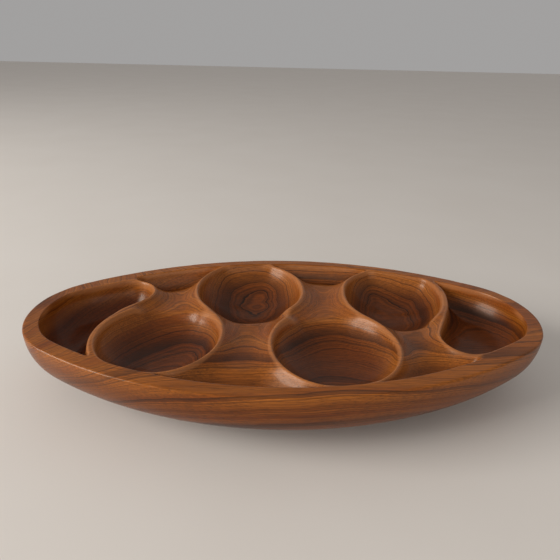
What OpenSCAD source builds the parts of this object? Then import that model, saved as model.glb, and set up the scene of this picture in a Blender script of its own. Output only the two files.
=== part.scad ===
// Divided serving dish that turns on a ball-bearing foot.
// Millimetres, +Z up, +X along the dish. The origin is on the table under the middle of the foot.

/* [Dish] */
// Length of the dish
dish_l = 500; // [460:5:540]
// Width of the dish
dish_w = 262; // [240:2:284]
// Thickness of the wooden block
dish_h = 46; // [44:1:56]
// Depth of the six bowls below the rim
bowl_d = 30; // [20:1:31]
// Depth of the saddle between a bowl and its scoop
saddle_d = 9; // [5:1:12]
// How much deeper a scoop is beside the rim
scoop_d = 10; // [4:1:12]
// Rounding of the rim's outer edge
rim_round = 1.5; // [1:0.5:3]

/* [Bearing] */
// Side of the square bearing plates
plate_w = 100; // [92:1:110]
// Height from the foot to the dish
bearing_h = 8; // [8:0.5:10]
// Thickness of the plates' sheet steel
sheet = 1.2; // [1:0.1:1.3]
// Radius of the ring of balls
race_r = 36; // [35:0.5:37]
// Number of balls
ball_count = 20; // [12:1:20]

/* [Foot] */
// Radius of the turned foot
foot_r = 75; // [70:1:90]
// Thickness of the turned foot
foot_h = 10; // [10:1:14]
// Height of the rubber pads under the foot
pad_h = 5; // [4.5:0.5:8]

/* [Hidden] */
$fn = 96;

// Levels above the table
foot_top = pad_h + foot_h;
dish_bottom = foot_top + bearing_h;
rim_z = dish_bottom + dish_h;

// ---- Dish: outline ----
// The dish is drawn 500 by 262 and then stretched to dish_l by dish_w.
half_l = 250;
half_w = 131;
tip_r = 78;
rim_w = 13;
// The carved well lies a little further back than the outline
well_shift = 1.5;

// ---- Dish: bowls ----
// Middle bowls: x, y, radius, direction of the ramp, reach towards the ramp, reach towards the rim
BACK_LEFT = [-37, 57, 56.5, -87, 0.16, 0.16];
BACK_RIGHT = [117.5, 50, 52, -100, 0.36, 0.10];
FRONT_LEFT = [-117.5, -38, 56, 75, 0.12, 0.05];
FRONT_RIGHT = [42, -54, 57, 97, 0.16, 0.06];
// End bowls: x, y of the round head, direction of the head, 1 or -1 for the side that it faces
LEFT_END = [-166, 46, 52, 1];
RIGHT_END = [169, -42, 64, -1];
head_r = 27;
// How softly edges run into one another: a bowl into the rim, and how much more by an end bowl's
// head, over head_side of its width; an end bowl into the ridge; two saddles; a scoop into its wall
rim_blend = 4;
head_blend = 6;
head_side = 14;
ridge_blend = 5;
land_blend = 8;
scoop_blend = 3;
// Direction in which an end bowl's head runs back beside the rim
rim_heading = 27;
// On its other side its tail widens: distance from the head's middle to the start, slope, softness
tail_start = 38;
tail_slope = 1.2;
tail_blend = 12;
// Wood left between an end bowl and the bowl beside it
ridge_w = 5;
// A bowl's wall: power of the curve across it, and of its rise at the sides and at the ramp
wall_curve = 2.4;
side_rise = 1 / 1.5;
ramp_rise = 1 / 1.05;
// Rounding of a bowl's edge at the sides and at the ramp
edge_round = 2.5;
ramp_round = 12;

// ---- Dish: saddles and scoops ----
// Distance over which a saddle falls from the ridge beside it
saddle_side = 24;
// Distance from the rim to a scoop's lowest line, and half the scoop's width
scoop_line = 12;
scoop_half = 25;
scoop_wall_slope = 2.4;
// How softly a saddle runs into its bowl, and into the next saddle
saddle_blend = 16;
saddle_fade = 10;

// ---- Dish: underside ----
// How far the underside is drawn in at the ends and at the sides, and the power of its curve
hull_in_x = 54;
hull_in_y = 29;
hull_power = 2.5;

// ---- Dish: mesh ----
// Five crest lines of the mesh follow the bowls' edges, with two more lines close beside each
CREST_X = [-160, -78, 3, 83, 160];
// Values of y between which a crest passes from the front bowl's edge to the back bowl's
CREST_TURN = [[8, 24], [0, 14], [-8, 10], [-8, 8], [-20, 8]];
crest_near = 2;
crest_far = 5;
// Share of a bowl's radius, before and behind its middle, over which a crest follows its edge
crest_reach = 0.88;
columns_per_bowl = 16;
rows = 46;
// How much closer together the columns are towards the dish's two tips
tip_crowding = 1.7;
// How much closer together the rows are towards the well's front and back edges
row_crowding = 0.15;
// How far from its middle an edge is looked for, in radii, for a middle bowl and an end bowl's head
round_search = 1.6;
head_search = 2;
// Most that a slanting crest may spread the lines beside it
slant_most = 2;
hull_rings = 6;

// ---- Bearing ----
ball_r = 2.5;
groove_r = 2.65;
ball_z = foot_top + bearing_h / 2;
// Half the gap between the lower and the upper race
race_gap = 1.3;
hub_r = 24;
curl_r = 28.5;
flange_r = 25.6;
plate_hole_r = 30;
plate_corner_r = 8;
plate_screw_at = 41;
hole_r = 2.1;
cage_h = 1;
cage_w = 8;
// The upper plate's flange: its height above the balls' centres, and its gap from the lower plate's curl
flange_lift = 0.9;
curl_gap = 0.3;

// ---- Foot and screws ----
foot_edge_r = 4;
access_hole_r = 7.5;
// The hole turns past each of the dish's screws in turn
access_hole_x = plate_screw_at * sqrt(2);
pad_at = 44;
pad_top_r = 8.5;
pad_bottom_r = 7.5;
pad_recess_r = 4.6;
pad_recess_h = 2.4;
shank_r = 1.75;
head_screw_r = 3.4;
head_screw_h = 2;
tray_screw_l = 12;
base_screw_l = 9;
pad_screw_l = 9;
slot_w = 0.8;

// ---- Number functions ----
// Small enough not to show, and keeps divisions away from zero
tiny = 0.001;
function clamp(t) = min(max(t, 0), 1);
function ease(t) = let (c = clamp(t)) c * c * (3 - 2 * c);
function mix(a, b, t) = a + (b - a) * t;
function soft_min(a, b, k) = let (h = clamp(0.5 + 0.5 * (b - a) / k)) mix(b, a, h) - k * h * (1 - h);
function soft_max(a, b, k) = -soft_min(-a, -b, k);
function cross_z(a, b) = a.x * b.y - a.y * b.x;

// ---- The four-arc oval, inset from the dish's edge ----
function side_r(inset) = let (a = half_l - inset, b = half_w - inset, r = tip_r - inset)
    ((a - r) ^ 2 + b ^ 2 - r ^ 2) / (2 * (b - r));
side_centre_y = half_w - side_r(0);
tip_centre_x = half_l - tip_r;
side_angle = atan2(-side_centre_y, tip_centre_x);
// Centre and radius of the arc that is nearest to p
function near_arc(p, inset) = let (at_tip = atan2(abs(p.y), abs(p.x) - tip_centre_x) < side_angle)
    at_tip ? [sign(p.x) * tip_centre_x, 0, tip_r - inset]
           : [0, (p.y < 0 ? -1 : 1) * side_centre_y, side_r(inset)];
// Distance from p to the oval, positive inside
function inside_oval(p, inset) = let (arc = near_arc(p, inset)) arc[2] - norm(p - [arc.x, arc.y]);
function inside_well(p) = inside_oval(p - [0, well_shift], rim_w);
// Half the width of the oval at x
function oval_half(x, inset) = let (
        arc_r = side_r(inset),
        join_x = arc_r * cos(side_angle),
        r = tip_r - inset
    )
    abs(x) < join_x ? sqrt(arc_r ^ 2 - x ^ 2) + side_centre_y
                    : sqrt(max(r ^ 2 - (abs(x) - tip_centre_x) ^ 2, 0));

// ---- Bowls: distance inside the edge, and depth ----
function ramp_share(p, b) = let (d = p - [b.x, b.y], n = max(norm(d), tiny))
    max(d * [cos(b[3]), sin(b[3])] / n, 0) ^ 2;
function rim_share(p, b) = let (d = p - [b.x, b.y], n = max(norm(d), tiny))
    max(-d * [cos(b[3]), sin(b[3])] / n, 0) ^ 2;
function inside_round(p, b) =
    b[2] * (1 + b[4] * ramp_share(p, b) + b[5] * rim_share(p, b)) - norm(p - [b.x, b.y]);
function inside_end(p, e, beside) = let (
        d = p - [e.x, e.y],
        u = (d.x * cos(e[2]) + d.y * sin(e[2])) * e[3],
        v = (d.x * sin(e[2]) - d.y * cos(e[2])) * e[3],
        a = e[2] - rim_heading,
        by_rim = norm([max(u * sin(a) - v * cos(a), 0), max(u * cos(a) + v * sin(a), 0)]),
        by_ridge = norm([max(u, 0), v]) + tail_slope * soft_min(u + tail_start, 0, tail_blend),
        head_or_tail = head_r - (v < 0 ? by_rim : by_ridge),
        own = soft_min(head_or_tail, -inside_round(p, beside) - ridge_w, ridge_blend)
    )
    soft_min(own, inside_well(p), rim_blend + head_blend * ease(-v / head_side));
function to_rim(s, p) = soft_min(s, inside_well(p), rim_blend);
function bowl_depth(s, r, ramp) = let (t = clamp(s / r))
    bowl_d * (1 - (1 - t) ^ wall_curve) ^ mix(side_rise, ramp_rise, ramp)
        * ease(s / mix(edge_round, ramp_round, ramp));

// ---- Saddles and scoops between two ridged bowls ----
// Distance of p from the line a-b, positive to its left
function beside_line(p, a, b) = let (ab = [b.x - a.x, b.y - a.y])
    cross_z(ab, p - [a.x, a.y]) / norm(ab);
// 1 within the corner a-b-c, fading out across its lines and at a and c; side is 1 behind it, -1 in front
function in_corner(p, a, b, c, side) =
    ease((p.x - a.x) / saddle_fade) * ease((c.x - p.x) / saddle_fade)
    * min(ease(0.5 + side * beside_line(p, a, b) / (2 * saddle_fade)),
        ease(0.5 + side * beside_line(p, b, c) / (2 * saddle_fade)));
function land_depth(p, s_one, s_two, share) = let (
        out = max(soft_min(-s_one, -s_two, land_blend), 0),
        fall = (1 - (1 - clamp(out / saddle_side)) ^ 2) * ease(out / edge_round),
        s_well = inside_well(p),
        scoop = cos(90 * min(max((s_well - scoop_line) / scoop_half, -1), 1)) ^ 2,
        wall = scoop_wall_slope * s_well * ease(s_well / edge_round)
    )
    share * max(soft_min(fall * (saddle_d + scoop_d * scoop), wall, scoop_blend), 0);
function join_land(depth, land) = land <= 0 ? depth
    : soft_max(depth, land, min(saddle_blend, 2 * land) + tiny);

// ---- Depth of the carved top below the rim at p ----
function carved(p) = let (
        s_back_left = to_rim(inside_round(p, BACK_LEFT), p),
        s_back_right = to_rim(inside_round(p, BACK_RIGHT), p),
        s_front_left = to_rim(inside_round(p, FRONT_LEFT), p),
        s_front_right = to_rim(inside_round(p, FRONT_RIGHT), p),
        s_left = inside_end(p, LEFT_END, FRONT_LEFT),
        s_right = inside_end(p, RIGHT_END, BACK_RIGHT),
        bowls = max(
            bowl_depth(s_back_left, BACK_LEFT[2], ramp_share(p, BACK_LEFT)),
            bowl_depth(s_back_right, BACK_RIGHT[2], ramp_share(p, BACK_RIGHT)),
            bowl_depth(s_front_left, FRONT_LEFT[2], ramp_share(p, FRONT_LEFT)),
            bowl_depth(s_front_right, FRONT_RIGHT[2], ramp_share(p, FRONT_RIGHT)),
            bowl_depth(s_left, head_r, 0),
            bowl_depth(s_right, head_r, 0)
        ),
        land_a = land_depth(p, s_left, s_back_left, in_corner(p, LEFT_END, FRONT_LEFT, BACK_LEFT, 1)),
        land_b = land_depth(p, s_front_left, s_front_right,
            in_corner(p, FRONT_LEFT, BACK_LEFT, FRONT_RIGHT, -1)),
        land_c = land_depth(p, s_front_right, s_right,
            in_corner(p, FRONT_RIGHT, BACK_RIGHT, RIGHT_END, -1)),
        land_d = land_depth(p, s_back_left, s_back_right,
            in_corner(p, BACK_LEFT, FRONT_RIGHT, BACK_RIGHT, 1))
    )
    join_land(join_land(join_land(join_land(bowls, land_a), land_b), land_c), land_d);

// ---- Mesh of the dish ----
well_tip = half_l - rim_w;
column_count = columns_per_bowl * 6;
// Where an edge lies between x = a inside it and x = b outside it
function edge_x(inside_at, a, b, steps = 14) = let (m = (a + b) / 2)
    steps == 0 ? m
    : inside_at(m) > 0 ? edge_x(inside_at, m, b, steps - 1)
    : edge_x(inside_at, a, m, steps - 1);
function hold(y, middle, r) = min(max(y, middle - crest_reach * r), middle + crest_reach * r);
function round_edge(y, b, side, wider) = let (h = hold(y, b.y, b[2]))
    edge_x(function (x) inside_round([x, h], b) + wider, b.x, b.x + side * round_search * b[2]);
function head_edge(y, e, beside, side) = let (h = hold(y, e.y, head_r))
    edge_x(function (x) inside_end([x, h], e, beside), e.x, e.x + side * head_search * head_r);
function front_edge(k, y) =
    k == 0 ? round_edge(y, FRONT_LEFT, -1, ridge_w / 2)
    : k == 1 ? round_edge(y, FRONT_LEFT, 1, 0)
    : k == 2 ? round_edge(y, FRONT_RIGHT, -1, 0)
    : k == 3 ? round_edge(y, FRONT_RIGHT, 1, 0)
    : head_edge(y, RIGHT_END, BACK_RIGHT, -1);
function back_edge(k, y) =
    k == 0 ? head_edge(y, LEFT_END, FRONT_LEFT, 1)
    : k == 1 ? round_edge(y, BACK_LEFT, -1, 0)
    : k == 2 ? round_edge(y, BACK_LEFT, 1, 0)
    : k == 3 ? round_edge(y, BACK_RIGHT, -1, 0)
    : round_edge(y, BACK_RIGHT, 1, ridge_w / 2);
function crest_x(k, y) = let (turn = CREST_TURN[k])
    mix(front_edge(k, y), back_edge(k, y), ease((y - turn[0]) / (turn[1] - turn[0])));
// The row at t runs across the well, from -1 at its front edge to 1 at its back edge
function row_t(j) = let (u = 2 * j / rows - 1) u + row_crowding * sin(180 * u);
function well_y(x, t) = well_shift + t * oval_half(x, rim_w);
function crest_on_row(k, t, x, steps = 10) = steps == 0 ? x
    : crest_on_row(k, t, (x + crest_x(k, well_y(x, t))) / 2, steps - 1);
crests = [for (k = [0:4]) [for (j = [0:rows]) crest_on_row(k, row_t(j), CREST_X[k])]];
// How much further apart, along X, lines are that keep their distance from a slanting crest
function slant(k, j) = let (
        a = max(j - 1, 0),
        b = min(j + 1, rows),
        dy = well_y(crests[k][b], row_t(b)) - well_y(crests[k][a], row_t(a))
    )
    min(norm([1, (crests[k][b] - crests[k][a]) / dy]), slant_most);
// Column i on row j: s counts the columns from the crest on its left
function column_x(i, j) = let (
        k = floor(i / columns_per_bowl),
        s = i - k * columns_per_bowl,
        n = columns_per_bowl,
        left = k == 0 ? -well_tip : crests[k - 1][j],
        right = k == 5 ? well_tip : crests[k][j],
        left_slant = k == 0 ? 0 : slant(k - 1, j),
        right_slant = k == 5 ? 0 : slant(k, j),
        a = left + crest_far * left_slant,
        b = right - crest_far * right_slant
    )
    k == 0 && s < n - 1 ? mix(left, b, (s / (n - 2)) ^ tip_crowding)
    : k == 5 && s > 1 ? mix(right, a, ((n - s) / (n - 2)) ^ tip_crowding)
    : s == 0 ? left
    : s == 1 ? left + crest_near * left_slant
    : s == n - 1 ? right - crest_near * right_slant
    : mix(a, b, (s - 2) / (n - 4));
function well_point(i, j) = let (x = column_x(i, j)) [x, well_y(x, row_t(j))];
well_xy = [for (i = [1:column_count - 1]) for (j = [0:rows]) well_point(i, j)];
tips_xy = [[-well_tip, well_shift], [well_tip, well_shift]];
well_points = [for (p = well_xy) [p.x, p.y, -carved(p)]];
function well_index(i, j) = (i - 1) * (rows + 1) + j;
left_tip = len(well_xy);
right_tip = left_tip + 1;
// Edge of the well, anticlockwise from the left tip
well_edge = concat([left_tip], [for (i = [1:column_count - 1]) well_index(i, 0)],
    [right_tip], [for (i = [column_count - 1:-1:1]) well_index(i, rows)]);
edge_count = len(well_edge);
all_xy = concat(well_xy, tips_xy);
// Point of the dish's outline nearest to p, moved in by inset
function outline_point(p, inset) = let (arc = near_arc(p, inset), c = [arc.x, arc.y], d = p - c)
    c + d * arc[2] / norm(d);
outline = [for (k = well_edge) outline_point(all_xy[k], 0)];
rim_ring = [for (k = well_edge) let (p = outline_point(all_xy[k], rim_round)) [p.x, p.y, 0]];
function hull_ring(angle) = let (
        down = angle == 0 ? rim_round : max(dish_h * sin(angle) ^ (2 / hull_power), rim_round),
        drawn_in = 1 - cos(angle) ^ (2 / hull_power)
    )
    [for (p = outline) [
        p.x * (1 - hull_in_x / half_l * drawn_in),
        p.y * (1 - hull_in_y / half_w * drawn_in),
        -down
    ]];
ring_points = concat(rim_ring, [for (n = [0:hull_rings]) each hull_ring(90 * n / hull_rings)]);
ring_count = hull_rings + 2;
first_ring = right_tip + 1;
// Index of point k on ring n; ring -1 is the edge of the well
function ring_index(n, k) = n < 0 ? well_edge[k % edge_count]
    : first_ring + n * edge_count + k % edge_count;
function two_triangles(a, b, c, d) = [[a, b, c], [a, c, d]];
function drop(a, b) = abs(well_points[a].z - well_points[b].z);
// Two triangles that share the more level diagonal, so that crests come out smooth
function level_triangles(a, b, c, d) =
    drop(a, c) < drop(b, d) ? two_triangles(a, b, c, d) : two_triangles(b, c, d, a);
well_faces = concat(
    [for (i = [1:column_count - 2]) for (j = [0:rows - 1])
        each level_triangles(well_index(i, j), well_index(i, j + 1),
            well_index(i + 1, j + 1), well_index(i + 1, j))],
    [for (j = [0:rows - 1]) [left_tip, well_index(1, j + 1), well_index(1, j)]],
    [for (j = [0:rows - 1])
        [right_tip, well_index(column_count - 1, j), well_index(column_count - 1, j + 1)]]
);
ring_faces = [for (n = [0:ring_count - 1]) for (k = [0:edge_count - 1])
    each two_triangles(ring_index(n - 1, k), ring_index(n - 1, k + 1),
        ring_index(n, k + 1), ring_index(n, k))];
bottom_face = [for (k = [0:edge_count - 1]) ring_index(ring_count - 1, k)];
dish_points = concat(well_points, [for (p = tips_xy) [p.x, p.y, 0]], ring_points);

// Carved dish: flat rim, six bowls, four scoops, boat-shaped underside
module tray() {
    color("#8a4f2a")
    translate([0, 0, rim_z])
    polyhedron(
        points = [for (p = dish_points) [p.x * dish_l / (2 * half_l), p.y * dish_w / (2 * half_w), p.z]],
        faces = concat(well_faces, ring_faces, [bottom_face])
    );
}

// ---- Shared shapes ----
module at_corners(d) {
    for (x = [-d, d]) {
        for (y = [-d, d]) {
            translate([x, y, 0]) children();
        }
    }
}

// Square sheet with rounded corners, four screw holes and a round middle hole
module plate_sheet(middle_r) {
    straight = plate_w - 2 * plate_corner_r;
    linear_extrude(sheet)
    difference() {
        union() {
            square([plate_w, straight], center = true);
            square([straight, plate_w], center = true);
            at_corners(straight / 2) circle(r = plate_corner_r);
        }
        circle(r = middle_r);
        at_corners(plate_screw_at) circle(r = hole_r);
    }
}

// Rounded channel that the balls run in, open upwards, with its centre at the balls' centre
module race() {
    wall_r = groove_r + sheet;
    rotate_extrude()
    intersection() {
        translate([race_r, 0])
        difference() {
            circle(r = wall_r);
            circle(r = groove_r);
        }
        translate([race_r - wall_r, -wall_r]) square([2 * wall_r, wall_r - race_gap]);
    }
}

module ring(inner_r, outer_r, height) {
    rotate_extrude()
    translate([inner_r, 0]) square([outer_r - inner_r, height]);
}

// Wood screw with its head below z = 0 and its shank going up
module wood_screw(shank_l) {
    difference() {
        rotate_extrude()
        polygon([
            [0, -head_screw_h],
            [head_screw_r * 0.6, -head_screw_h],
            [head_screw_r, -head_screw_h * 0.5],
            [head_screw_r, 0],
            [shank_r, 0],
            [shank_r, shank_l - 2 * shank_r],
            [0, shank_l]
        ]);
        for (turn = [0, 90]) {
            rotate([0, 0, turn])
            translate([-head_screw_r / 2, -slot_w / 2, -head_screw_h - 1])
            cube([head_screw_r, slot_w, 1 + head_screw_h / 2]);
        }
    }
}

// ---- Bearing ----
// Upper plate, screwed to the dish: sheet, upper race and the flange that the hub holds
module bearing_top_plate() {
    color("#b9bbbd") {
        translate([0, 0, dish_bottom - sheet]) plate_sheet(plate_hole_r);
        translate([0, 0, ball_z]) mirror([0, 0, 1]) race();
        translate([0, 0, ball_z + flange_lift]) ring(flange_r, race_r - groove_r, sheet);
    }
}

// Lower plate, screwed to the foot: sheet, lower race and the hub curled over the upper flange
module bearing_bottom_plate() {
    curl_z = ball_z + flange_lift + sheet + curl_gap;
    color("#b9bbbd") {
        translate([0, 0, foot_top]) plate_sheet(hub_r);
        translate([0, 0, ball_z]) race();
        translate([0, 0, foot_top]) ring(hub_r, hub_r + sheet, curl_z + sheet - foot_top);
        translate([0, 0, curl_z]) ring(hub_r, curl_r, sheet);
    }
}

module bearing_balls() {
    color("#d6d8da")
    for (n = [0:ball_count - 1]) {
        rotate([0, 0, n * 360 / ball_count]) translate([race_r, 0, ball_z]) sphere(r = ball_r, $fn = 32);
    }
}

// Flat ring with a hole round each ball
module ball_cage() {
    color("#c9b27a")
    difference() {
        translate([0, 0, ball_z - cage_h / 2]) ring(race_r - cage_w / 2, race_r + cage_w / 2, cage_h);
        for (n = [0:ball_count - 1]) {
            rotate([0, 0, n * 360 / ball_count])
            translate([race_r, 0, ball_z - cage_h])
            cylinder(r = groove_r, h = 2 * cage_h);
        }
    }
}

module tray_screws() {
    color("#9a9ca0")
    translate([0, 0, dish_bottom - sheet]) at_corners(plate_screw_at) wood_screw(tray_screw_l);
}

module base_screws() {
    color("#9a9ca0")
    translate([0, 0, foot_top + sheet])
    at_corners(plate_screw_at) mirror([0, 0, 1]) wood_screw(base_screw_l);
}

// ---- Foot ----
// Turned disc with a rounded edge and the hole through which the dish's screws are reached
module foot_disc() {
    color("#7d4727")
    translate([0, 0, pad_h])
    difference() {
        rotate_extrude() {
            square([foot_r - foot_edge_r, foot_h]);
            translate([foot_r - foot_edge_r, foot_h - foot_edge_r]) circle(r = foot_edge_r);
            square([foot_r - foot_edge_r, foot_edge_r]);
            translate([0, foot_edge_r / 2]) square([foot_r, foot_h - 1.5 * foot_edge_r]);
        }
        translate([access_hole_x, 0, -1]) cylinder(r = access_hole_r, h = foot_h + 2);
        translate([0, 0, foot_h - base_screw_l + sheet])
        at_corners(plate_screw_at) cylinder(r = shank_r, h = base_screw_l);
        translate([0, 0, -1])
        at_corners(pad_at) cylinder(r = shank_r, h = pad_screw_l - pad_h + pad_recess_h + 1);
    }
}

// Rubber pad, narrower at the table, with a recess for its screw
module rubber_pad(x, y) {
    color("#2b2a29")
    translate([x, y, 0])
    difference() {
        cylinder(r1 = pad_bottom_r, r2 = pad_top_r, h = pad_h);
        translate([0, 0, -1]) cylinder(r = pad_recess_r, h = pad_recess_h + 1);
        translate([0, 0, -1]) cylinder(r = hole_r, h = pad_h + 2);
    }
}
module rubber_pad_front_left() rubber_pad(-pad_at, -pad_at);
module rubber_pad_front_right() rubber_pad(pad_at, -pad_at);
module rubber_pad_back_left() rubber_pad(-pad_at, pad_at);
module rubber_pad_back_right() rubber_pad(pad_at, pad_at);

module pad_screws() {
    color("#9a9ca0")
    translate([0, 0, pad_recess_h]) at_corners(pad_at) wood_screw(pad_screw_l);
}

tray();
bearing_top_plate();
bearing_bottom_plate();
bearing_balls();
ball_cage();
tray_screws();
base_screws();
foot_disc();
rubber_pad_front_left();
rubber_pad_front_right();
rubber_pad_back_left();
rubber_pad_back_right();
pad_screws();
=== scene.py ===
# Looks for the carved serving dish on its turning foot. Metres, the frame's own axes.
import math

import bmesh
import bpy
import numpy as np
from mathutils import Matrix, Vector


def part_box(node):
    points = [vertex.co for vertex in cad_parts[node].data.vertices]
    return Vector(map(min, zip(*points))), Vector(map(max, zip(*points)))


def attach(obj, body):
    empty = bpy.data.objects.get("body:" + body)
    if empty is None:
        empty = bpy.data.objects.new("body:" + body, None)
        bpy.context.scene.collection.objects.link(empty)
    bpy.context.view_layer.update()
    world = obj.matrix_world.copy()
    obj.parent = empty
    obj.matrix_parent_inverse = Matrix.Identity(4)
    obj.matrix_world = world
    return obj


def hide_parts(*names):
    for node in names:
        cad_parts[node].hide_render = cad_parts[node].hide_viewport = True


MM = 0.001
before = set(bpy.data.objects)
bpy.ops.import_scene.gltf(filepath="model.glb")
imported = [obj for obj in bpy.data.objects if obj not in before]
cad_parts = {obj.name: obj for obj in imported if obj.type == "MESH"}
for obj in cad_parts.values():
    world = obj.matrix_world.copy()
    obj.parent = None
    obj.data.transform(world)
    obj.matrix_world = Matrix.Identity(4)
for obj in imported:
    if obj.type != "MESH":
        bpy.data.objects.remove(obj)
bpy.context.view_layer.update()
tray_low, tray_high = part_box("tray")

# ---- Dish outline, millimetres, z = 0 at the rim ----
HALF_L, HALF_W, TIP_R = 250.0, 131.0, 78.0
RIM_W = 13.0
WELL_SHIFT = 1.5
DISH_H = (tray_high.z - tray_low.z) / MM
RIM_Z = tray_high.z / MM
# Keeps the finer outline inside the faceted one of the frame
STRETCH_X = (tray_high.x - tray_low.x) / MM / (2 * HALF_L)
STRETCH_Y = (tray_high.y - tray_low.y) / MM / (2 * HALF_W)
HULL_IN_X, HULL_IN_Y, HULL_POWER = 54.0, 29.0, 2.5
RIM_ROUND = 1.9
# Depths at which the painted shade starts to darken the bowls, and where it is at its full darkness
SHADE_START, SHADE_DEPTH = 5.0, 25.0
# Height, in mm, by which a crest stands out when it starts to be painted lighter, and how much more
# there is to it when it is at its lightest; the lightening is partly rubbed wear, partly painted sheen
CREST_LEAST, CREST_SHEEN_AND_WEAR = 0.07, 0.3
# How much more painted shade the left end bowl gets, where that starts, and over which length
LEFT_SHADE, LEFT_SHADE_X, LEFT_SHADE_FADE = 0.17, -125.0, 40.0
# Share of the bowls' painted shade on the hull, darker towards its bottom, and the depth at which it
# is reached
HULL_SHADE, HULL_SHADE_DEPTH = 0.62, 16.0

# ---- Bowls ----
# Middle bowls: x, y, radius, direction of the ramp, reach towards the ramp, reach towards the rim
BACK_LEFT = (-37, 57, 56.5, -87, 0.16, 0.16)
BACK_RIGHT = (117.5, 50, 52, -100, 0.36, 0.10)
FRONT_LEFT = (-117.5, -38, 56, 75, 0.12, 0.05)
FRONT_RIGHT = (42, -54, 57, 97, 0.16, 0.06)
# End bowls: x, y of the round head, direction of the head, side that it faces
LEFT_END = (-166, 46, 52, 1)
RIGHT_END = (169, -42, 64, -1)
HEAD_R, TAIL_START, RIDGE_W = 27.0, 38.0, 5.0
BOWL_D, WALL_CURVE = 30.0, 2.4
SIDE_RISE, RAMP_RISE = 1 / 1.5, 1 / 1.05
EDGE_ROUND, RAMP_ROUND = 2.5, 12.0
# How softly a bowl's side runs into the side of the well, and how much softer by an end bowl's head,
# over HEAD_SIDE of its width
BOWL_BLEND, HEAD_BLEND, HEAD_SIDE = 4.0, 6.0, 14.0
# How softly an end bowl's side runs into the ridge beside it
RIDGE_BLEND = 5.0
# Direction in which an end bowl's head runs back beside the rim
RIM_HEADING = 27.0
# Slope of the far side of its tail, and how softly that begins
TAIL_SLOPE, TAIL_BLEND = 1.2, 12.0

# ---- Saddles and scoops ----
SADDLE_D, SCOOP_D, SADDLE_SIDE = 9.0, 10.0, 24.0
SCOOP_LINE, SCOOP_HALF, SCOOP_WALL = 12.0, 25.0, 2.4
SADDLE_BLEND, SADDLE_FADE = 16.0, 10.0
# How softly two falls of a saddle meet, and a scoop and its wall
LAND_BLEND, SCOOP_BLEND = 8.0, 3.0
# Small enough not to show, and keeps divisions away from zero
TINY = 0.001

COLUMNS, ROWS = ((640, 260))
HULL_LEVELS = 36
# Rounds of smoothing for the carved top, and for finding its crests
SOFTEN_ROUNDS = 3
CREST_ROUNDS = 8
# Share of the columns' spacing that is even, the rest crowds towards the tips
EVEN_SHARE = 0.3
# Hand-tool unevenness: height and length of its waves, and the depth at which it is at its full height
RIPPLE_H, RIPPLE_L, RIPPLE_DEPTH = 0.22, 34.0, 8.0
RIPPLE_WAVES = 9
# Wear of the rim's outer edge: height of its waves, number of nicks, and the least and most wear
WEAR_H, NICKS, WEAR_RANGE = 0.12, 26, (-0.2, 1.1)
EDGE_STEPS = 6
# The hull's rings start this far under the rim's rounding, below its most worn place
HULL_START = 1.3


def ease(t):
    t = np.clip(t, 0, 1)
    return t * t * (3 - 2 * t)


def soft_min(a, b, k):
    h = np.clip(0.5 + 0.5 * (b - a) / k, 0, 1)
    return b * (1 - h) + a * h - k * h * (1 - h)


def soft_max(a, b, k):
    return -soft_min(-a, -b, k)


def side_r(inset):
    a, b, r = HALF_L - inset, HALF_W - inset, TIP_R - inset
    return ((a - r) ** 2 + b ** 2 - r ** 2) / (2 * (b - r))


SIDE_Y = HALF_W - side_r(0)
TIP_X = HALF_L - TIP_R
SIDE_ANGLE = math.atan2(-SIDE_Y, TIP_X)


def inside_oval(x, y, inset):
    """Distance inside the four-arc oval."""
    at_tip = np.arctan2(abs(y), abs(x) - TIP_X) < SIDE_ANGLE
    tip = TIP_R - inset - np.hypot(abs(x) - TIP_X, y)
    side = side_r(inset) - np.hypot(x, abs(y) - SIDE_Y)
    return np.where(at_tip, tip, side)


def oval_half(x, inset):
    r, arc = TIP_R - inset, side_r(inset)
    side = np.sqrt(np.maximum(arc ** 2 - x ** 2, 0)) + SIDE_Y
    tip = np.sqrt(np.maximum(r ** 2 - (abs(x) - TIP_X) ** 2, 0))
    return np.where(abs(x) < arc * math.cos(SIDE_ANGLE), side, tip)


def outline_point(x, y, inset):
    """The outline's point nearest to (x, y), moved in by inset."""
    at_tip = np.arctan2(abs(y), abs(x) - TIP_X) < SIDE_ANGLE
    cx = np.where(at_tip, np.sign(x) * TIP_X, 0)
    cy = np.where(at_tip, 0, np.where(y < 0, -SIDE_Y, SIDE_Y))
    r = np.where(at_tip, TIP_R - inset, side_r(inset))
    n = np.hypot(x - cx, y - cy)
    return cx + (x - cx) * r / n, cy + (y - cy) * r / n


def shares(x, y, bowl):
    """How much (x, y) lies on a bowl's ramp side and on its rim side, each from 0 to 1."""
    dx, dy = x - bowl[0], y - bowl[1]
    a = math.radians(bowl[3])
    k = (dx * math.cos(a) + dy * math.sin(a)) / np.maximum(np.hypot(dx, dy), TINY)
    return np.maximum(k, 0) ** 2, np.maximum(-k, 0) ** 2


def inside_round(x, y, bowl):
    """Distance inside a middle bowl's edge."""
    ramp, rim = shares(x, y, bowl)
    return bowl[2] * (1 + bowl[4] * ramp + bowl[5] * rim) - np.hypot(x - bowl[0], y - bowl[1])


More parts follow.
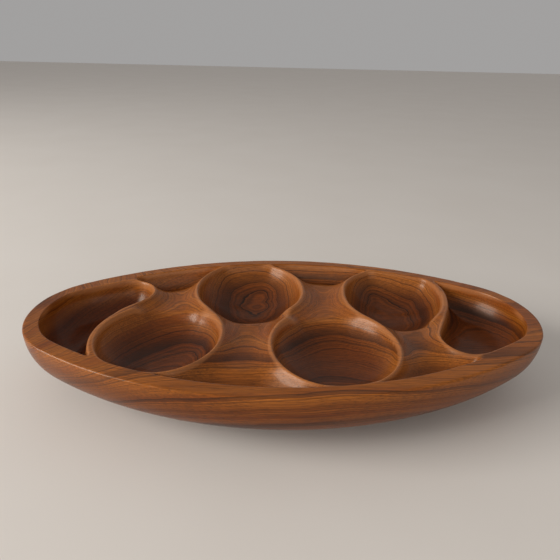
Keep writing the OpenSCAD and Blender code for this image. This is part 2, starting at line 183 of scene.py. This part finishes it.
def inside_end(x, y, end, beside, s_well):
    """Distance inside an end bowl's edge. u runs along the bowl and v across it, away from the rim."""
    a = math.radians(end[2])
    dx, dy = x - end[0], y - end[1]
    u = (dx * math.cos(a) + dy * math.sin(a)) * end[3]
    v = (dx * math.sin(a) - dy * math.cos(a)) * end[3]
    b = math.radians(end[2] - RIM_HEADING)
    tail = -TAIL_SLOPE * soft_min(u + TAIL_START, 0, TAIL_BLEND)
    out = np.maximum(u * math.sin(b) - v * math.cos(b), 0)
    ahead = np.maximum(u * math.cos(b) + v * math.sin(b), 0)
    own = HEAD_R - np.where(v < 0, np.hypot(out, ahead), np.hypot(np.maximum(u, 0), v) - tail)
    own = soft_min(own, -inside_round(x, y, beside) - RIDGE_W, RIDGE_BLEND)
    return soft_min(own, s_well, BOWL_BLEND + HEAD_BLEND * ease(-v / HEAD_SIDE))


def bowl_depth(s, r, ramp):
    t = np.clip(s / r, 0, 1)
    rise = SIDE_RISE + (RAMP_RISE - SIDE_RISE) * ramp
    edge = EDGE_ROUND + (RAMP_ROUND - EDGE_ROUND) * ramp
    return BOWL_D * (1 - (1 - t) ** WALL_CURVE) ** rise * ease(s / edge)


def in_corner(x, y, a, b, c, side):
    """1 within the corner a-b-c, fading out across its lines; side is 1 behind it, -1 in front."""
    def beside(p, q):
        n = math.hypot(q[0] - p[0], q[1] - p[1])
        return ((y - p[1]) * (q[0] - p[0]) - (x - p[0]) * (q[1] - p[1])) / n
    one = ease(0.5 + side * beside(a, b) / (2 * SADDLE_FADE))
    two = ease(0.5 + side * beside(b, c) / (2 * SADDLE_FADE))
    ends = ease((x - a[0]) / SADDLE_FADE) * ease((c[0] - x) / SADDLE_FADE)
    return ends * np.minimum(one, two)


def land_depth(s_one, s_two, s_well, share):
    """Depth of the saddle and scoop between two bowls."""
    out = np.maximum(soft_min(-s_one, -s_two, LAND_BLEND), 0)
    fall = (1 - (1 - np.clip(out / SADDLE_SIDE, 0, 1)) ** 2) * ease(out / EDGE_ROUND)
    scoop = np.cos(np.pi / 2 * np.clip((s_well - SCOOP_LINE) / SCOOP_HALF, -1, 1)) ** 2
    wall = SCOOP_WALL * s_well * ease(s_well / EDGE_ROUND)
    return share * np.maximum(soft_min(fall * (SADDLE_D + SCOOP_D * scoop), wall, SCOOP_BLEND), 0)


def carved(x, y):
    """Depth of the carved top below the rim."""
    s_well = inside_oval(x, y - WELL_SHIFT, RIM_W)
    s, depths = {}, []
    for bowl in (BACK_LEFT, BACK_RIGHT, FRONT_LEFT, FRONT_RIGHT):
        s[bowl] = soft_min(inside_round(x, y, bowl), s_well, BOWL_BLEND)
        depths.append(bowl_depth(s[bowl], bowl[2], shares(x, y, bowl)[0]))
    for end, beside in ((LEFT_END, FRONT_LEFT), (RIGHT_END, BACK_RIGHT)):
        s[end] = inside_end(x, y, end, beside, s_well)
        depths.append(bowl_depth(s[end], HEAD_R, 0))
    depth = np.maximum.reduce(depths)
    for a, b, c, side in (
        (LEFT_END, FRONT_LEFT, BACK_LEFT, 1),
        (FRONT_LEFT, BACK_LEFT, FRONT_RIGHT, -1),
        (FRONT_RIGHT, BACK_RIGHT, RIGHT_END, -1),
        (BACK_LEFT, FRONT_RIGHT, BACK_RIGHT, 1),
    ):
        land = land_depth(s[a], s[c], s_well, in_corner(x, y, a, b, c, side))
        k = np.minimum(SADDLE_BLEND, 2 * land) + 0.01
        depth = np.where(land > 0, soft_max(depth, land, k), depth)
    return depth


def ripple(x, y, size, seed):
    """Smooth hand-tool unevenness from -1 to 1, made of a few waves of about that size."""
    rng = np.random.default_rng(seed)
    total = np.zeros_like(x)
    for _ in range(RIPPLE_WAVES):
        a, phase = rng.uniform(0, 2 * np.pi, 2)
        k = 2 * np.pi / (size * rng.uniform(0.7, 1.6))
        total += np.sin(k * (x * np.cos(a) + y * np.sin(a)) + phase)
    return total / RIPPLE_WAVES ** 0.5 / 1.5


def soften(z, rounds):
    """Rounds the crests a little. The well's edge stays where it is."""
    for _ in range(rounds):
        z[1:-1, :] = (z[:-2, :] + 2 * z[1:-1, :] + z[2:, :]) / 4
        z[:, 1:-1] = (z[:, :-2] + 2 * z[:, 1:-1] + z[:, 2:]) / 4
    return z


def edge_wear(around):
    """Wear of the rim's outer edge at a share of the way round: small waves and a few nicks."""
    angle = 2 * np.pi * around
    worn = np.zeros(len(around))
    rng = np.random.default_rng(11)
    for k in range(3, 60, 4):
        worn += np.sin(k * angle + rng.uniform(0, 6.3)) * 0.5
    worn = WEAR_H * worn
    for _ in range(NICKS):
        at, width, size = rng.uniform(0.02, 0.48), rng.uniform(0.0012, 0.004), rng.uniform(0.2, 0.7)
        worn += size * np.exp(-(((around - at) / width) ** 2))
    return np.clip(worn, *WEAR_RANGE)


def outer_rings(base):
    """Rings of points from the well's edge outwards: rim, its outer edge, hull, bottom."""
    count = len(base)
    worn = edge_wear(np.linspace(0, 1, count, endpoint=False))
    rings = []
    for share in (0.08, 0.3, 0.6, 0.85):
        ox, oy = outline_point(base[:, 0], base[:, 1], RIM_ROUND + 0.4)
        rings.append(np.stack([
            base[:, 0] + (ox - base[:, 0]) * share, base[:, 1] + (oy - base[:, 1]) * share,
            np.zeros(count)], 1))
    ox, oy = outline_point(base[:, 0], base[:, 1], 0)
    ix, iy = outline_point(base[:, 0], base[:, 1], 1)
    for step in range(EDGE_STEPS + 1):
        a = math.pi / 2 * step / EDGE_STEPS
        size = RIM_ROUND + worn
        inset = size * (1 - math.sin(a))
        rings.append(np.stack([
            ox + (ix - ox) * inset, oy + (iy - oy) * inset, -size * (1 - math.cos(a))], 1))
    for n in range(1, HULL_LEVELS + 1):
        a = math.pi / 2 * n / HULL_LEVELS
        down = DISH_H * math.sin(a) ** (2 / HULL_POWER)
        drawn = 1 - math.cos(a) ** (2 / HULL_POWER)
        if down > RIM_ROUND + HULL_START:
            rings.append(np.stack([
                ox * (1 - HULL_IN_X / HALF_L * drawn), oy * (1 - HULL_IN_Y / HALF_W * drawn),
                np.full(count, -down)], 1))
    bottom = np.stack([ox * (1 - HULL_IN_X / HALF_L), oy * (1 - HULL_IN_Y / HALF_W)], 1)
    for share in (0.97, 0.8, 0.5, 0.2):
        rings.append(np.column_stack([bottom * share, np.full(count, -DISH_H)]))
    return rings


def dish_mesh():
    well_tip = HALF_L - RIM_W
    u = np.linspace(-1, 1, COLUMNS + 1)[1:-1]
    x = well_tip * (EVEN_SHARE * u + (1 - EVEN_SHARE) * np.sin(np.pi / 2 * u))
    t = np.linspace(-1, 1, ROWS + 1)
    X = np.repeat(x[:, None], ROWS + 1, 1)
    Y = WELL_SHIFT + t[None, :] * oval_half(X, RIM_W)
    deep = carved(X, Y)
    deep += RIPPLE_H * ripple(X, Y, RIPPLE_L, 3) * ease(deep / RIPPLE_DEPTH)
    Z = -soften(deep, SOFTEN_ROUNDS)
    points = [np.stack([X.ravel(), Y.ravel(), Z.ravel()], 1)]
    # Painted shade: darker the deeper the carved top lies, and more so in the left end bowl
    painted_shade = ease((-Z.ravel() - SHADE_START) / (SHADE_DEPTH - SHADE_START))
    painted_shade *= 1 + LEFT_SHADE * ease((LEFT_SHADE_X - X.ravel()) / LEFT_SHADE_FADE)
    # Lighter crests: partly rubbed wear, partly painted sheen
    crest = soften(deep.copy(), CREST_ROUNDS) + Z
    crest = np.clip((crest.ravel() - CREST_LEAST) / CREST_SHEEN_AND_WEAR, 0, 1)
    points.append(np.array([[-well_tip, WELL_SHIFT, 0], [well_tip, WELL_SHIFT, 0]]))
    n_rows, n_cols = ROWS + 1, COLUMNS - 1
    left, right = n_rows * n_cols, n_rows * n_cols + 1
    edge = [left] + [i * n_rows for i in range(n_cols)] + [right]
    edge += [i * n_rows + ROWS for i in range(n_cols - 1, -1, -1)]
    base = np.concatenate(points)[edge]
    faces = []
    for i in range(n_cols - 1):
        a = i * n_rows
        b = a + n_rows
        faces += [(a + j, b + j, b + j + 1, a + j + 1) for j in range(ROWS)]
    faces += [(left, j, j + 1) for j in range(ROWS)]
    last = (n_cols - 1) * n_rows
    faces += [(right, last + j + 1, last + j) for j in range(ROWS)]

    start = right + 1
    before = edge
    for ring in outer_rings(base):
        points.append(ring)
        now = list(range(start, start + len(edge)))
        start += len(edge)
        nxt = before[1:] + before[:1]
        now_nxt = now[1:] + now[:1]
        faces += [(d, c, b, a) for a, b, c, d in zip(before, nxt, now_nxt, now)]
        before = now
    faces.append(tuple(before))
    co = np.concatenate(points) * MM
    co[:, 0] *= STRETCH_X
    co[:, 1] *= STRETCH_Y
    co[:, 2] += RIM_Z * MM
    mesh = bpy.data.meshes.new("carved_dish")
    mesh.from_pydata(co.tolist(), [], faces)
    # Values that the wood's colour reads: painted shade, darker deeper in the bowls and lower on the
    # hull, and lighter crests, partly rubbed wear and partly painted sheen
    shade = (HULL_SHADE * ease(-np.concatenate(points)[:, 2] / HULL_SHADE_DEPTH)).astype(np.float32)
    shade[:len(painted_shade)] = painted_shade
    mesh.attributes.new("painted_shade", "FLOAT", "POINT").data.foreach_set("value", shade)
    rubbed_and_sheen = np.zeros(len(co), np.float32)
    rubbed_and_sheen[:len(crest)] = crest
    mesh.attributes.new("rubbed_and_sheen", "FLOAT", "POINT").data.foreach_set("value", rubbed_and_sheen)
    mesh.validate()
    mesh.update()
    bm = bmesh.new()
    bm.from_mesh(mesh)
    bmesh.ops.recalc_face_normals(bm, faces=bm.faces)
    for f in bm.faces:
        f.smooth = True
    bm.to_mesh(mesh)
    bm.free()
    return mesh


# ---- Materials ----
def rgb(r, g, b):
    """A colour as seen on screen, 0 to 255, as linear values."""
    def lin(c):
        c = c / 255
        return c / 12.92 if c <= 0.04045 else ((c + 0.055) / 1.055) ** 2.4
    return (lin(r), lin(g), lin(b), 1)


class Tree:
    """A few short calls for building a material's nodes."""

    def __init__(self, name):
        self.material = bpy.data.materials.new(name)
        self.material.use_nodes = True
        self.tree = self.material.node_tree
        self.shader = self.tree.nodes["Principled BSDF"]
        self.object = self.tree.nodes.new("ShaderNodeTexCoord").outputs["Object"]

    def add(self, kind, inputs=None, **settings):
        node = self.tree.nodes.new(kind)
        for key, value in settings.items():
            setattr(node, key, value)
        for key, value in (inputs or {}).items():
            self.put(node.inputs[key], value)
        return node

    def put(self, socket, value):
        if isinstance(value, bpy.types.NodeSocket):
            self.tree.links.new(value, socket)
        else:
            socket.default_value = value

    def math(self, operation, a, b=0.0, clamp=False):
        node = self.add("ShaderNodeMath", {0: a, 1: b}, operation=operation, use_clamp=clamp)
        return node.outputs[0]

    def scaled(self, vector, factors):
        node = self.add("ShaderNodeVectorMath", {0: vector, 1: factors}, operation="MULTIPLY")
        return node.outputs[0]

    def noise(self, vector, scale=1.0, detail=2.0, rough=0.5):
        node = self.add("ShaderNodeTexNoise", {
            "Vector": vector, "Scale": scale, "Detail": detail, "Roughness": rough})
        return node.outputs["Fac"]

    def noise_line(self, w, scale=1.0, detail=1.0):
        node = self.add("ShaderNodeTexNoise", {"W": w, "Scale": scale, "Detail": detail},
                        noise_dimensions="1D")
        return node.outputs["Fac"]

    def ramp(self, value, stops, interpolation="LINEAR"):
        node = self.add("ShaderNodeValToRGB", {"Fac": value})
        node.color_ramp.interpolation = interpolation
        elements = node.color_ramp.elements
        while len(elements) < len(stops):
            elements.new(0.5)
        for element, (at, colour) in zip(elements, stops):
            element.position = at
            element.color = colour if isinstance(colour, tuple) else (colour, colour, colour, 1)
        return node.outputs["Color"]

    def mix(self, share, a, b, blend="MIX"):
        node = self.add("ShaderNodeMix", data_type="RGBA", blend_type=blend)
        self.put(node.inputs[0], share)
        self.put(node.inputs[6], a)
        self.put(node.inputs[7], b)
        return node.outputs[2]

    def bump(self, height, strength, distance, under=None):
        inputs = {"Height": height, "Strength": strength, "Distance": distance}
        if under is not None:
            inputs["Normal"] = under
        return self.add("ShaderNodeBump", inputs).outputs["Normal"]


# ---- Wood ----
# Thickness of a growth layer, in mm, and shifts that put the figure's lines where they look best
LAYER_T, LAYER_PHASE, STREAK_PHASE = 2.7, 1.2, 0.4
# The log's middle: how far behind the dish's middle, and how far above the table
LOG_Y, LOG_Z = 40.0, 330.0
# How far the layers sway, swirl and flutter, in mm
SWAY, SWIRL, FLUTTER = 16.0, 3.0, 0.6
# Slope of the layers along the board, and how they bend down to the left of BEND_X
LAYER_SLOPE, BEND_X, BEND = 0.03, -60.0, -0.0013


def wood(name, gloss=0.33, coat=0.12, painted_shade=False):
    """Dark figured hardwood, flat sawn: growth layers lie nearly level along X."""
    m = Tree(name)
    mm = m.scaled(m.object, (1000, 1000, 1000))
    split = m.add("ShaderNodeSeparateXYZ", {0: mm})
    x, y, z = split.outputs
    sway = m.math("SUBTRACT", m.noise(m.scaled(mm, (0.0055, 0.012, 0.02)), detail=1.5), 0.5)
    swirl = m.math("SUBTRACT", m.noise(m.scaled(mm, (0.02, 0.05, 0.05)), detail=2.0), 0.5)
    flutter = m.math("SUBTRACT", m.noise(m.scaled(mm, (0.06, 0.22, 0.22)), detail=2.0), 0.5)
    # Radius from the log's middle, which lies far above the dish and a little behind
    across = m.math("ADD", y, -LOG_Y)
    # Layers dip gently along the board, and more and more towards its left end
    left = m.math("MINIMUM", m.math("ADD", x, -BEND_X), 0.0)
    dip = m.math("ADD", m.math("MULTIPLY", x, LAYER_SLOPE),
                 m.math("MULTIPLY", m.math("MULTIPLY", left, left), BEND))
    up = m.math("ADD", m.math("SUBTRACT", z, dip), -LOG_Z)
    radius = m.math("SQRT", m.math("ADD", m.math("MULTIPLY", across, across),
                                   m.math("MULTIPLY", up, up)))
    radius = m.math("ADD", radius, m.math("MULTIPLY", sway, SWAY))
    radius = m.math("ADD", radius, m.math("MULTIPLY", swirl, SWIRL))
    radius = m.math("ADD", radius, m.math("MULTIPLY", flutter, FLUTTER))
    # Layers of uneven thickness, each ending in a line that is dark by chance
    layer = m.math("DIVIDE", m.math("ADD", radius, LAYER_PHASE), LAYER_T)
    layer = m.math("ADD", layer, m.math("MULTIPLY", m.noise_line(layer, 0.33), 2.8))
    part = m.math("FRACT", layer)
    number = m.math("FLOOR", layer)
    chance = m.add("ShaderNodeTexWhiteNoise", {"W": number}, noise_dimensions="1D").outputs["Value"]
    broad = m.noise_line(layer, 0.21, 2.0)
    line = m.ramp(part, [
        (0.0, 0.3), (0.07, 0.0), (0.6, 0.08), (0.85, 0.35), (0.93, 1.0), (0.98, 1.0), (1.0, 0.3)])
    chance = m.math("MULTIPLY", chance, chance)
    line = m.math("MULTIPLY", line, m.math("ADD", m.math("MULTIPLY", chance, 0.85), 0.2))
    body = m.ramp(broad, [
        (0.28, rgb(76, 33, 9)), (0.4, rgb(124, 62, 15)), (0.52, rgb(149, 83, 25)),
        (0.64, rgb(126, 61, 15)), (0.76, rgb(72, 31, 9))])
    tone = m.noise(m.scaled(mm, (0.006, 0.016, 0.016)), detail=2.0)
    body = m.mix(m.ramp(tone, [(0.35, 0.0), (0.68, 0.55)]), body, rgb(161, 93, 33))
    colour = m.mix(m.math("MULTIPLY", line, 0.95, clamp=True), body, rgb(34, 14, 8))
    # Fine streaks within the layers
    streak = m.noise_line(m.math("ADD", radius, STREAK_PHASE), 1.3, 3.0)
    colour = m.mix(0.8, colour, m.ramp(streak, [(0.3, 0.3), (0.5, 0.52), (0.7, 0.7)]), "OVERLAY")
    # Fibres and pores along X
    fibre = m.noise(m.scaled(mm, (0.03, 0.9, 0.9)), detail=4.0, rough=0.6)
    colour = m.mix(0.75, colour, m.ramp(fibre, [(0.28, 0.28), (0.5, 0.5), (0.72, 0.72)]), "OVERLAY")
    pore = m.noise(m.scaled(mm, (0.11, 2.1, 2.1)), detail=1.0)
    pore = m.ramp(pore, [(0.6, 0.0), (0.7, 1.0)])
    colour = m.mix(m.math("MULTIPLY", pore, 0.5), colour, rgb(34, 15, 9))
    if painted_shade:
        # Painted shade: darker deeper in the bowls and lower on the hull
        inside = m.add("ShaderNodeAttribute", attribute_name="painted_shade").outputs["Fac"]
        colour = m.mix(m.math("MULTIPLY", inside, 0.85), colour, (0.31, 0.18, 0.09, 1), "MULTIPLY")
        # Crests are lighter: partly rubbed wear, partly painted sheen
        rubbed_and_sheen = m.add("ShaderNodeAttribute", attribute_name="rubbed_and_sheen").outputs["Fac"]
        colour = m.mix(m.math("MULTIPLY", rubbed_and_sheen, 0.4), colour, rgb(190, 124, 76))
    m.put(m.shader.inputs["Base Color"], colour)
    rough = m.math("ADD", m.math("MULTIPLY", fibre, 0.2), gloss - 0.08)
    m.put(m.shader.inputs["Roughness"], m.math("ADD", rough, m.math("MULTIPLY", pore, 0.12)))
    m.shader.inputs["Coat Weight"].default_value = coat
    m.shader.inputs["Coat Roughness"].default_value = 0.17
    m.shader.inputs["Specular IOR Level"].default_value = 0.3
    m.shader.inputs["Specular Tint"].default_value = (1.0, 0.78, 0.58, 1)
    normal = m.bump(fibre, 0.25, 0.0004)
    m.put(m.shader.inputs["Normal"], m.bump(m.math("MULTIPLY", pore, -1.0), 0.3, 0.0002, normal))
    return m


def metal(name, colour, dark, rough, streak):
    """Plated or polished metal with rolling marks, spots and small scratches."""
    m = Tree(name)
    mm = m.scaled(m.object, (1000, 1000, 1000))
    rolled = m.noise(m.scaled(mm, streak), detail=3.0)
    cloud = m.noise(m.scaled(mm, (0.08, 0.08, 0.3)), detail=3.0)
    m.put(m.shader.inputs["Base Color"], m.mix(m.ramp(cloud, [(0.4, 0.0), (0.8, 0.7)]), colour, dark))
    level = m.math("ADD", m.math("MULTIPLY", rolled, 0.22), rough - 0.11)
    m.put(m.shader.inputs["Roughness"], m.math("ADD", level, m.math("MULTIPLY", cloud, 0.1)))
    m.shader.inputs["Metallic"].default_value = 1.0
    m.put(m.shader.inputs["Normal"], m.bump(rolled, 0.2, 0.00008))
    return m


def rubber(name):
    m = Tree(name)
    mm = m.scaled(m.object, (1000, 1000, 1000))
    grain = m.noise(mm, 2.2, 3.0)
    dust = m.noise(m.scaled(mm, (0.2, 0.2, 0.5)), detail=2.0)
    m.put(m.shader.inputs["Base Color"], m.mix(
        m.ramp(dust, [(0.45, 0.0), (0.8, 0.5)]), rgb(38, 37, 36), rgb(70, 66, 62)))
    m.put(m.shader.inputs["Roughness"], m.math("ADD", m.math("MULTIPLY", grain, 0.2), 0.62))
    m.put(m.shader.inputs["Normal"], m.bump(grain, 0.3, 0.0001))
    return m


# The dish's wood gets painted shade in its bowls and on its hull, and lighter crests, partly painted
# sheen
dish_wood = wood("oiled_dark_hardwood", painted_shade=True)
foot_wood = wood("turned_foot_wood", gloss=0.46, coat=0.05)
plated = metal("plated_sheet_steel", rgb(196, 197, 196), rgb(150, 149, 144), 0.34, (0.06, 2.0, 2.0))
polished = metal("polished_ball_steel", rgb(214, 216, 218), rgb(180, 182, 184), 0.16, (1.5, 1.5, 1.5))
brass = metal("cage_brass", rgb(206, 172, 104), rgb(146, 112, 58), 0.36, (0.8, 0.8, 3.0))
screws = metal("screw_steel", rgb(176, 176, 172), rgb(120, 118, 112), 0.3, (2.5, 2.5, 2.5))
pads = rubber("pad_rubber")

FINISH = {
    "bearing_top_plate": plated,
    "bearing_bottom_plate": plated,
    "bearing_balls": polished,
    "ball_cage": brass,
    "tray_screws": screws,
    "base_screws": screws,
    "pad_screws": screws,
    "foot_disc": foot_wood,
    "rubber_pad_front_left": pads,
    "rubber_pad_front_right": pads,
    "rubber_pad_back_left": pads,
    "rubber_pad_back_right": pads,
}
for node, finish in FINISH.items():
    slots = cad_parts[node].data.materials
    slots.clear()
    slots.append(finish.material)

dish = bpy.data.objects.new("carved_dish", dish_mesh())
bpy.context.scene.collection.objects.link(dish)
dish.data.materials.append(dish_wood.material)
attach(dish, "dish")
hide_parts("tray")

# ---- Floor and light ----
FLOOR_HALF = 6.0
# Lamps: place and size in metres, power in watts, colour
WINDOW = ((-2.4, -0.64, 1.2), (0, 0, 0.05), (1.6, 1.15), 65, (1.0, 0.99, 0.97))
ROOM_SIDE = ((0.3, -1.7, 0.8), (0, 0, 0.03), (1.8, 0.8), 5, (1.0, 0.98, 0.95))
ROOM_COLOUR, ROOM_STRENGTH = (0.95, 0.93, 0.92, 1), 0.38
floor_mesh = bpy.data.meshes.new("floor")
bm = bmesh.new()
bmesh.ops.create_grid(bm, x_segments=2, y_segments=2, size=FLOOR_HALF)
bm.to_mesh(floor_mesh)
bm.free()
floor = bpy.data.objects.new("floor", floor_mesh)
bpy.context.scene.collection.objects.link(floor)
table = Tree("pale_table")
speck = table.noise(table.scaled(table.object, (6, 6, 6)), detail=3.0)
table.put(table.shader.inputs["Base Color"], table.mix(speck, rgb(222, 214, 205), rgb(228, 221, 213)))
table.shader.inputs["Roughness"].default_value = 0.6
floor_mesh.materials.append(table.material)


def area_light(name, at, aim, size, power, colour):
    data = bpy.data.lights.new(name, "AREA")
    data.shape = "RECTANGLE"
    data.size, data.size_y = size
    data.energy = power
    data.color = colour
    lamp = bpy.data.objects.new(name, data)
    bpy.context.scene.collection.objects.link(lamp)
    lamp.location = at
    lamp.rotation_euler = (Vector(aim) - Vector(at)).to_track_quat("-Z", "Y").to_euler()


area_light("window", *WINDOW)
area_light("room_side", *ROOM_SIDE)
world = bpy.data.worlds.new("room")
world.use_nodes = True
world.node_tree.nodes["Background"].inputs["Color"].default_value = ROOM_COLOUR
world.node_tree.nodes["Background"].inputs["Strength"].default_value = ROOM_STRENGTH
bpy.context.scene.world = world
bpy.context.scene.view_settings.view_transform = "Standard"

# ---- Camera at the photograph's viewing angle ----
# Focal length and sensor width, in mm
LENS, SENSOR = 32.143, 36.0
PITCH, ROLL, YAW = (math.radians(v) for v in (25.8, -1.46, 2.23))
DISTANCE = 494 * MM
# How far the middle of the rim lies to the right of the view's axis, and above it
AIM_RIGHT, AIM_UP = 6.03 * MM, -32.9 * MM
right = Vector((1, 0, 0))
forward = Vector((0, math.cos(PITCH), -math.sin(PITCH)))
up = Vector((0, math.sin(PITCH), math.cos(PITCH)))
image_right = math.cos(ROLL) * right - math.sin(ROLL) * up
image_up = math.sin(ROLL) * right + math.cos(ROLL) * up
turn = Matrix.Rotation(-YAW, 3, "Z")
place = turn @ -(AIM_RIGHT * image_right + AIM_UP * image_up + DISTANCE * forward)
place.z += RIM_Z * MM
camera_data = bpy.data.cameras.new("camera")
camera_data.sensor_width = SENSOR
camera_data.lens = LENS
camera = bpy.data.objects.new("camera", camera_data)
bpy.context.scene.collection.objects.link(camera)
axes = Matrix((turn @ image_right, turn @ image_up, turn @ -forward)).transposed()
camera.matrix_world = Matrix.Translation(place) @ axes.to_4x4()
bpy.context.scene.camera = camera
